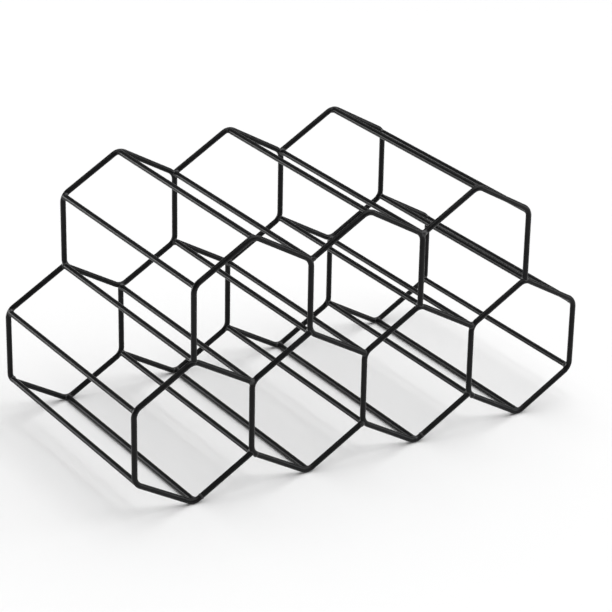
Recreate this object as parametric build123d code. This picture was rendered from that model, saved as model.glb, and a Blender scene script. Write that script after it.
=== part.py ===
from build123d import *
import math
import os

# A seven-cell honeycomb wine rack of round steel wire: a front frame and a back frame, each
# bent from seven wires, and twenty-five straight crossbars between them, all butt-welded.
# X runs to the right, Y to the back, Z up. The origin is on the table, under the middle.

# Driving dimensions, in millimetres.
WIRE_DIAMETER = 4.2     # steel wire with its powder coat
CELL_PITCH = 94.0       # between the axes of two neighbouring upright wires
SIDE_HEIGHT = 55.5      # upright side of a hexagonal cell, corner to corner
FRAME_SPACING = 192.0   # between the axes of the front and back frames
BEND_RADIUS = 9.0       # of the wire's axis at every corner
END_SINK = 1.0          # how far a crossbar's end is fused into the frame wire that it meets
LOWER_CELLS = 4
UPPER_CELLS = 3

WIRE_RADIUS = WIRE_DIAMETER / 2
HALF_PITCH = CELL_PITCH / 2
# Every corner of a cell is 120 degrees, so its sloping sides rise at 30 degrees, and the
# apex of a rounded corner lies APEX_INSET inside the sharp one.
SLOPE = math.radians(30)
PEAK_HEIGHT = HALF_PITCH * math.tan(SLOPE)
APEX_INSET = BEND_RADIUS * (1 / math.cos(SLOPE) - 1)


def corner_points():
    """Every corner of the honeycomb as name -> (x, z), numbered from the left."""
    left = -LOWER_CELLS * HALF_PITCH
    rows = {
        "foot": (LOWER_CELLS, 1, WIRE_RADIUS - APEX_INSET),
        "low": (LOWER_CELLS + 1, 0, PEAK_HEIGHT),
        "high": (LOWER_CELLS + 1, 0, SIDE_HEIGHT),
        "crown": (LOWER_CELLS, 1, PEAK_HEIGHT),
        "shoulder": (UPPER_CELLS + 1, 1, SIDE_HEIGHT),
        "top": (UPPER_CELLS, 2, PEAK_HEIGHT),
    }
    points = {}
    height = 0.0
    for row, (count, first_column, rise) in rows.items():
        height += rise
        for i in range(count):
            x = left + (first_column + 2 * i) * HALF_PITCH
            points[f"{row}{i + 1}"] = (x, height)
    return points


POINTS = corner_points()

# The corners that each wire passes. An open wire's two ends are welded to the wire that
# bends round that corner. A ring comes back to its first corner.
FRONT_WIRES = {
    "front_wire_lower_1": "low2 foot1 low1 high1 crown1 high2",
    "front_wire_lower_2": "crown2 high2 low2 foot2 low3",
    "front_wire_lower_3": "high4 crown3 high3 low3 foot3 low4",
    "front_wire_lower_4": "crown4 high4 low4 foot4 low5 high5 crown4",
    "front_wire_upper_1": "crown1 shoulder1 top1 shoulder2 crown2 high3",
    "front_wire_upper_2": "shoulder2 top2 shoulder3 crown3",
    "front_wire_upper_3": "shoulder3 top3 shoulder4 crown4",
}
BACK_WIRES = {
    "back_wire_upper_1": "top1 shoulder2 crown2 high2 crown1 shoulder1 top1",
    "back_wire_upper_2": "shoulder2 top2 shoulder3 crown3 high3 crown2",
    "back_wire_upper_3": "shoulder3 top3 shoulder4 crown4 high4 crown3",
    "back_wire_lower_1": "crown1 high1 low1 foot1 low2 high2",
    "back_wire_lower_2": "low2 foot2 low3 high3",
    "back_wire_lower_3": "low3 foot3 low4 high4",
    "back_wire_lower_4": "low4 foot4 low5 high5 crown4",
}


def is_ring(route):
    return route[0] == route[-1]


def bent_wire(route, y):
    """One length of wire, bent round the route's corners in the plane at y."""
    corners = [(POINTS[name][0], y, POINTS[name][1]) for name in route]
    path = FilletPolyline(*corners, radius=BEND_RADIUS)
    section = Plane(origin=path @ 0, z_dir=path % 0) * Circle(WIRE_RADIUS)
    return sweep(section, path=path)


def build_frame(wires, y):
    """All the wires of one frame, each end coped to the wire that it is welded to."""
    routes = {node: text.split() for node, text in wires.items()}
    whole = {node: bent_wire(route, y) for node, route in routes.items()}
    through = {}
    for node, route in routes.items():
        for corner in route if is_ring(route) else route[1:-1]:
            through[corner] = node
    frame = {}
    for node, route in routes.items():
        frame[node] = whole[node]
        if not is_ring(route):
            frame[node] -= whole[through[route[0]]]
            frame[node] -= whole[through[route[-1]]]
    return routes, frame


def neighbours(routes):
    """The corners that each corner is joined to by a side of a cell."""
    joined = {name: set() for name in POINTS}
    for route in routes.values():
        for start, end in zip(route, route[1:]):
            joined[start].add(end)
            joined[end].add(start)
    return joined


def bar_axis(corner, joined):
    """Where a crossbar runs: the corner itself where three wires meet, else the bend's apex."""
    x, z = POINTS[corner]
    if len(joined[corner]) == 3:
        return x, z
    ends = [Vector(POINTS[name][0] - x, POINTS[name][1] - z).normalized() for name in joined[corner]]
    inward = (ends[0] + ends[1]).normalized()
    return x + inward.X * APEX_INSET, z + inward.Y * APEX_INSET


def crossbar(corner, joined, frames):
    """A straight wire from the front frame to the back frame, its ends coped to both."""
    x, z = bar_axis(corner, joined)
    length = FRAME_SPACING - 2 * (WIRE_RADIUS - END_SINK)
    bar = Plane.XZ * Pos(x, z, 0) * Cylinder(WIRE_RADIUS, length)
    for routes, frame in frames:
        for node, route in routes.items():
            if corner in route:
                bar -= frame[node]
    return bar


def build_rack():
    """Every piece of the rack as node name -> solid."""
    front_routes, front = build_frame(FRONT_WIRES, -FRAME_SPACING / 2)
    back_routes, back = build_frame(BACK_WIRES, FRAME_SPACING / 2)
    joined = neighbours(front_routes)
    pieces = {**front, **back}
    for corner in POINTS:
        row = corner.rstrip("123456789")
        number = corner[len(row):]
        bar = crossbar(corner, joined, [(front_routes, front), (back_routes, back)])
        pieces[f"crossbar_{row}_{number}"] = bar
    return pieces


os.makedirs("parts", exist_ok=True)
for name, piece in build_rack().items():
    export_step(piece, f"parts/{name}.step")
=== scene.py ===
import math
import random

import bmesh
import bpy
from mathutils import Matrix, Vector, noise


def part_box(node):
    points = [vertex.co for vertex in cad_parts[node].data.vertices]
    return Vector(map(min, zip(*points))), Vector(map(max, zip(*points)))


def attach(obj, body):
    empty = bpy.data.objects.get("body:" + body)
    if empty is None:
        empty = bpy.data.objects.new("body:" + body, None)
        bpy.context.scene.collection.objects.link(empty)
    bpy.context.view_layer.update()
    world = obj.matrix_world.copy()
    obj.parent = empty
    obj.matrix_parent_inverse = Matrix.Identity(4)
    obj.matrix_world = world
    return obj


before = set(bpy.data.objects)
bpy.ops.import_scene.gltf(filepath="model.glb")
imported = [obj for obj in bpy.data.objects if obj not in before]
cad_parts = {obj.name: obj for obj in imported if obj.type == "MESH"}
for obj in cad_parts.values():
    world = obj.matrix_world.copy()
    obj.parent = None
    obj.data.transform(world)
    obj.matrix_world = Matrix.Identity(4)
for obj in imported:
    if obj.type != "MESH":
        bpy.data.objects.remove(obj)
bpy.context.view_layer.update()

# Everything is in metres: X to the right, Y to the back, Z up, the table at zero.
MM = 0.001
BODY = "root"

# Camera
CAMERA_AZIMUTH = -32.73
CAMERA_ELEVATION = 24.07
CAMERA_ROLL = 1.12
CAMERA_DISTANCE = 1.9077
CAMERA_TARGET = Vector((0.011, 0, 0.0806))
CAMERA_LENS = 150.2
CAMERA_CLIP = (0.05, 50)

# Powder coat. Each scale is that of a noise texture, so a larger one is finer.
NOISE_MIDDLE = (0.3, 0.7)     # the part of a noise's values that is spread over a range
GRAIN_SCALE = 700             # unevenness of the gloss
PEEL_SCALE = 1300             # orange peel
PEEL_STRENGTH = 0.4
PEEL_DEPTH = 0.11 * MM
WAVE_SCALE = 210              # slow unevenness under the orange peel
WAVE_DEPTH = 0.4 * MM

# Welds
WELD_REACH = 4.6 * MM     # from a joint's middle to where its weld's mesh ends inside the wires
WELD_VOXEL = 0.4 * MM
WELD_SMOOTHING = 28       # passes, which draw the inner corners between the wires into fillets
WELD_LUMPS = 4            # drops of metal round the end of each crossbar
LUMP_RADIUS = (1.0 * MM, 1.4 * MM)
LUMP_OUT = (1.1, 1.7)     # millimetres from the crossbar's axis
LUMP_INWARD = (1.5, 2.6)  # millimetres from the frame's plane, along the crossbar
LUMP_ROUNDNESS = 2        # subdivisions of a drop's sphere
SAME_POINT = 1e-6         # metres: points that lie nearer to each other than this are one
RIPPLE_SIZE = 1.5 * MM
RIPPLE_DEPTH = 0.14 * MM

# Joints with one larger drop of metal, and its place from the joint's middle.
LARGE_LUMP_RADIUS = 2.0 * MM
LARGE_LUMP_ROUNDNESS = 3
LARGE_LUMPS = {
    ("front", "shoulder_3"): Vector((0.3, -1.3, 0.7)) * MM,
    ("front", "high_2"): Vector((-1.5, -0.7, 0.9)) * MM,
    ("front", "shoulder_2"): Vector((1.6, -0.7, 0.8)) * MM,
    ("front", "low_3"): Vector((-1.4, -0.8, -0.9)) * MM,
    ("front", "high_1"): Vector((0.5, 0.9, -1.2)) * MM,
    ("back", "high_1"): Vector((0.4, -1.3, 0.9)) * MM,
}

# Raised marks, like those where two lengths of wire are joined end to end. Each lies on a
# sloping side, at a distance from the corner at the side's upper end, and the angle is the
# side's, going down.
SEAM_RADIUS = 2.34 * MM
SEAM_HALF_WIDTH = 1.8 * MM
SEAM_ROUNDNESS = 5
SEAMS = (
    ("front", "low_2", 210, 47.6 * MM),
    ("front", "low_4", 210, 47.6 * MM),
    ("front", "low_2", -30, 4.2 * MM),
    ("front", "low_4", -30, 4.2 * MM),
)
SEED = 7

# Setting
FLOOR_HALF = 60.0
FLOOR_GREY = 0.93
FLOOR_ROUGHNESS = 0.9
WORLD_STRENGTH = 0.15
LIGHTS_AIM = Vector((0, 0, 0.1))


def direction(azimuth, elevation):
    """Towards the place seen at that azimuth and elevation, where azimuth 0 is the front."""
    a = math.radians(azimuth)
    e = math.radians(elevation)
    return Vector((math.sin(a) * math.cos(e), -math.cos(a) * math.cos(e), math.sin(e)))


def add_object(name, data):
    thing = bpy.data.objects.new(name, data)
    bpy.context.scene.collection.objects.link(thing)
    return thing


# Materials

def link_noise(tree, coordinates, scale, detail):
    texture = tree.nodes.new("ShaderNodeTexNoise")
    texture.inputs["Scale"].default_value = scale
    texture.inputs["Detail"].default_value = detail
    tree.links.new(coordinates.outputs["Object"], texture.inputs["Vector"])
    return texture


def link_range(tree, source, low, high):
    """Spreads a noise's useful middle over low to high."""
    spread = tree.nodes.new("ShaderNodeMapRange")
    spread.inputs["From Min"].default_value = NOISE_MIDDLE[0]
    spread.inputs["From Max"].default_value = NOISE_MIDDLE[1]
    spread.inputs["To Min"].default_value = low
    spread.inputs["To Max"].default_value = high
    tree.links.new(source.outputs["Fac"], spread.inputs["Value"])
    return spread


def link_bump(tree, source, strength, depth, under=None):
    bump = tree.nodes.new("ShaderNodeBump")
    bump.inputs["Strength"].default_value = strength
    bump.inputs["Distance"].default_value = depth
    tree.links.new(source.outputs["Fac"], bump.inputs["Height"])
    if under:
        tree.links.new(under.outputs["Normal"], bump.inputs["Normal"])
    return bump


def powder_coat(name, dark, light, roughness, unevenness, specular, patches):
    """Satin black powder coat: fine orange peel over a slow unevenness, with mottling between the
    dark and the light colour. On the wires it is faint random tone. On the welds it is partly a
    greyer coat and partly painted highlights.
    """
    material = bpy.data.materials.new(name)
    material.use_nodes = True
    tree = material.node_tree
    shader = tree.nodes["Principled BSDF"]
    shader.inputs["Specular IOR Level"].default_value = specular
    coordinates = tree.nodes.new("ShaderNodeTexCoord")
    mottle_and_painted_glints = link_noise(tree, coordinates, patches, 4)
    grain = link_noise(tree, coordinates, GRAIN_SCALE, 2)
    peel = link_noise(tree, coordinates, PEEL_SCALE, 1)
    slow = link_noise(tree, coordinates, WAVE_SCALE, 1)
    # Mottling between dark and light: random tone on the wires; on the welds, partly a greyer coat
    # and partly painted highlights.
    colour = tree.nodes.new("ShaderNodeMix")
    colour.data_type = "RGBA"
    colour.inputs["A"].default_value = (*dark, 1)
    colour.inputs["B"].default_value = (*light, 1)
    share = link_range(tree, mottle_and_painted_glints, 0, 1)
    tree.links.new(share.outputs["Result"], colour.inputs["Factor"])
    tree.links.new(colour.outputs["Result"], shader.inputs["Base Color"])
    gloss = link_range(tree, grain, *roughness)
    tree.links.new(gloss.outputs["Result"], shader.inputs["Roughness"])
    waves = link_bump(tree, slow, unevenness, WAVE_DEPTH)
    skin = link_bump(tree, peel, PEEL_STRENGTH, PEEL_DEPTH, under=waves)
    tree.links.new(skin.outputs["Normal"], shader.inputs["Normal"])
    return material


# Welds

def joints():
    """Each end of each crossbar, as (frame's side, corner's name, middle of the joint)."""
    planes = {}
    for side in ("front", "back"):
        low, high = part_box(next(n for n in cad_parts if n.startswith(side)))
        planes[side] = (low.y + high.y) / 2
    found = []
    for node in sorted(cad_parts):
        if node.startswith("crossbar_"):
            low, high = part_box(node)
            middle = (low + high) / 2
            for side, y in planes.items():
                found.append((side, node.removeprefix("crossbar_"), Vector((middle.x, y, middle.z))))
    return found


def near(node, middle):
    low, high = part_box(node)
    return all(low[i] - WELD_REACH < middle[i] < high[i] + WELD_REACH for i in range(3))


def cut_out(node, middle):
    """The closed piece of a CAD node's wire that lies in a cube round the joint."""
    piece = bmesh.new()
    piece.from_mesh(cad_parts[node].data)
    bmesh.ops.remove_doubles(piece, verts=piece.verts, dist=SAME_POINT)
    for axis in range(3):
        for way in (1, -1):
            outward = Vector((0, 0, 0))
            outward[axis] = way
            bmesh.ops.bisect_plane(
                piece,
                geom=piece.verts[:] + piece.edges[:] + piece.faces[:],
                plane_co=middle + outward * WELD_REACH,
                plane_no=outward,
                clear_outer=True,
            )
            rim = [edge for edge in piece.edges if len(edge.link_faces) == 1]
            if rim:
                bmesh.ops.edgeloop_fill(piece, edges=rim)
    return piece


def evaluated_copy(rough):
    graph = bpy.context.evaluated_depsgraph_get()
    mesh = bpy.data.meshes.new_from_object(rough.evaluated_get(graph))
    bpy.data.objects.remove(rough)
    return mesh


def fused(name, shape):
    """One skin round everything in the bmesh, with its inner corners drawn into fillets."""
    mesh = bpy.data.meshes.new(name)
    shape.to_mesh(mesh)
    shape.free()
    rough = add_object(name + "_rough", mesh)
    remesh = rough.modifiers.new("fuse", "REMESH")
    remesh.mode = "VOXEL"
    remesh.voxel_size = WELD_VOXEL
    smooth = rough.modifiers.new("fillet", "SMOOTH")
    smooth.factor = 0.5
    smooth.iterations = WELD_SMOOTHING
    return evaluated_copy(rough)


def random_shift(dice):
    """Moves each piece's ripples, so that no two pieces have the same ones."""
    return Vector((dice.random(), dice.random(), dice.random()))


def ripple(mesh, shift):
    """Small uneven ripples, as a weld has under its coat. Nothing reaches below the table."""
    offsets = [
        vertex.normal * noise.noise((vertex.co + shift) / RIPPLE_SIZE) * RIPPLE_DEPTH
        for vertex in mesh.vertices
    ]
    for vertex, offset in zip(mesh.vertices, offsets):
        vertex.co += offset
        vertex.co.z = max(vertex.co.z, 0)


def finish_piece(name, mesh, material):
    mesh.name = name
    mesh.materials.clear()
    mesh.materials.append(material)
    mesh.polygons.foreach_set("use_smooth", [True] * len(mesh.polygons))
    piece = add_object(name, mesh)
    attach(piece, BODY)


def joined_wires(side, corner, middle):
    """The pieces of the crossbar and of the frame's wires that meet at the joint."""
    shape = bmesh.new()
    for node in sorted(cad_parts):
        if node == "crossbar_" + corner or (node.startswith(side) and near(node, middle)):
            piece = cut_out(node, middle)
            piece_mesh = bpy.data.meshes.new("piece")
            piece.to_mesh(piece_mesh)
            piece.free()
            shape.from_mesh(piece_mesh)
            bpy.data.meshes.remove(piece_mesh)
    return shape


def add_lumps(shape, side, corner, middle, dice):
    """Drops of metal round the crossbar's end, and the joint's larger drop if it has one."""
    inward = 1 if side == "front" else -1
    for _ in range(WELD_LUMPS):
        turn = dice.uniform(0, math.tau)
        out = dice.uniform(*LUMP_OUT) * MM
        along = inward * dice.uniform(*LUMP_INWARD) * MM
        place = Vector((math.cos(turn) * out, along, math.sin(turn) * out))
        bmesh.ops.create_icosphere(
            shape,
            subdivisions=LUMP_ROUNDNESS,
            radius=dice.uniform(*LUMP_RADIUS),
            matrix=Matrix.Translation(middle + place),
        )
    if (side, corner) in LARGE_LUMPS:
        bmesh.ops.create_icosphere(
            shape,
            subdivisions=LARGE_LUMP_ROUNDNESS,
            radius=LARGE_LUMP_RADIUS,
            matrix=Matrix.Translation(middle + LARGE_LUMPS[side, corner]),
        )


def add_weld(side, corner, middle, material, dice):
    shape = joined_wires(side, corner, middle)
    add_lumps(shape, side, corner, middle, dice)
    name = f"weld_{side}_{corner}"
    mesh = fused(name, shape)
    ripple(mesh, random_shift(dice))
    finish_piece(name, mesh, material)


def add_seam(name, middle, angle, distance, material, dice):
    """A low uneven bead round a wire, where two lengths of it are joined."""
    along = Vector((math.cos(math.radians(angle)), 0, math.sin(math.radians(angle))))
    turn = along.to_track_quat("Z", "Y").to_matrix().to_4x4()
    size = Matrix.Diagonal((SEAM_RADIUS, SEAM_RADIUS, SEAM_HALF_WIDTH, 1))
    shape = bmesh.new()
    bmesh.ops.create_icosphere(
        shape,
        subdivisions=SEAM_ROUNDNESS,
        radius=1,
        matrix=Matrix.Translation(middle + along * distance) @ turn @ size,
    )
    mesh = bpy.data.meshes.new(name)
    shape.to_mesh(mesh)
    shape.free()
    ripple(mesh, random_shift(dice))
    finish_piece(name, mesh, material)


# Setting

def add_camera():
    data = bpy.data.cameras.new("camera")
    data.lens = CAMERA_LENS
    data.clip_start, data.clip_end = CAMERA_CLIP
    camera = add_object("camera", data)
    back = direction(CAMERA_AZIMUTH, CAMERA_ELEVATION)
    look = back.to_track_quat("Z", "Y").to_matrix().to_4x4()
    roll = Matrix.Rotation(math.radians(CAMERA_ROLL), 4, "Z")
    camera.matrix_world = Matrix.Translation(CAMERA_TARGET + back * CAMERA_DISTANCE) @ look @ roll
    bpy.context.scene.camera = camera


def area_light(name, azimuth, elevation, distance, size, power):
    data = bpy.data.lights.new(name, "AREA")
    data.shape = "RECTANGLE"
    data.size = size[0]
    data.size_y = size[1]
    data.energy = power
    back = direction(azimuth, elevation)
    turn = back.to_track_quat("Z", "Y").to_matrix().to_4x4()
    light = add_object(name, data)
    light.matrix_world = Matrix.Translation(LIGHTS_AIM + back * distance) @ turn


def soft_sun(name, azimuth, elevation, spread, strength):
    """Soft light from above that is equally bright on the whole floor."""
    data = bpy.data.lights.new(name, "SUN")
    data.angle = math.radians(spread)
    data.energy = strength
    light = add_object(name, data)
    light.matrix_world = direction(azimuth, elevation).to_track_quat("Z", "Y").to_matrix().to_4x4()


def add_floor():
    corners = [(x * FLOOR_HALF, y * FLOOR_HALF, 0) for x, y in ((-1, -1), (1, -1), (1, 1), (-1, 1))]
    mesh = bpy.data.meshes.new("floor")
    mesh.from_pydata(corners, [], [(0, 1, 2, 3)])
    material = bpy.data.materials.new("floor")
    material.use_nodes = True
    shader = material.node_tree.nodes["Principled BSDF"]
    shader.inputs["Base Color"].default_value = (FLOOR_GREY, FLOOR_GREY, FLOOR_GREY, 1)
    shader.inputs["Roughness"].default_value = FLOOR_ROUGHNESS
    mesh.materials.append(material)
    add_object("floor", mesh)


def add_light():
    world = bpy.data.worlds.new("world")
    world.use_nodes = True
    background = world.node_tree.nodes["Background"]
    background.inputs["Color"].default_value = (1, 1, 1, 1)
    background.inputs["Strength"].default_value = WORLD_STRENGTH
    scene = bpy.context.scene
    scene.world = world
    scene.view_settings.view_transform = "Standard"
    soft_sun("overhead", azimuth=90, elevation=66, spread=84, strength=2.93)
    area_light("back_left", azimuth=218, elevation=5, distance=2.6, size=(1.6, 0.45), power=24)
    area_light("front_right", azimuth=61, elevation=11, distance=2.6, size=(0.9, 0.8), power=14)


add_camera()
add_floor()
add_light()
wire_coat = powder_coat(
    "powder_coat",
    dark=(0.003, 0.003, 0.0033),
    light=(0.008, 0.008, 0.0086),
    roughness=(0.28, 0.38),
    unevenness=0.25,
    specular=0.16,
    patches=90,
)
# On the weld metal the coat is a little greyer and more uneven. Its lighter patches are partly that
# greyer coat and partly painted highlights, standing in for the glints that the welds catch.
weld_coat_with_painted_glints = powder_coat(
    "powder_coat_weld_painted_glints",
    dark=(0.006, 0.006, 0.0065),
    # light colour: partly a greyer coat, partly painted highlight
    light=(0.032, 0.032, 0.033),
    roughness=(0.26, 0.42),
    unevenness=0.7,
    specular=0.4,
    patches=420,
)
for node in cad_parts.values():
    for material_slot in node.material_slots:
        material_slot.material = wire_coat
dice = random.Random(SEED)
middles = {}
for side, corner, middle in joints():
    add_weld(side, corner, middle, weld_coat_with_painted_glints, dice)
    middles[side, corner] = middle
for number, (side, corner, angle, distance) in enumerate(SEAMS, 1):
    add_seam(f"seam_{side}_{number}", middles[side, corner], angle, distance, weld_coat_with_painted_glints, dice)
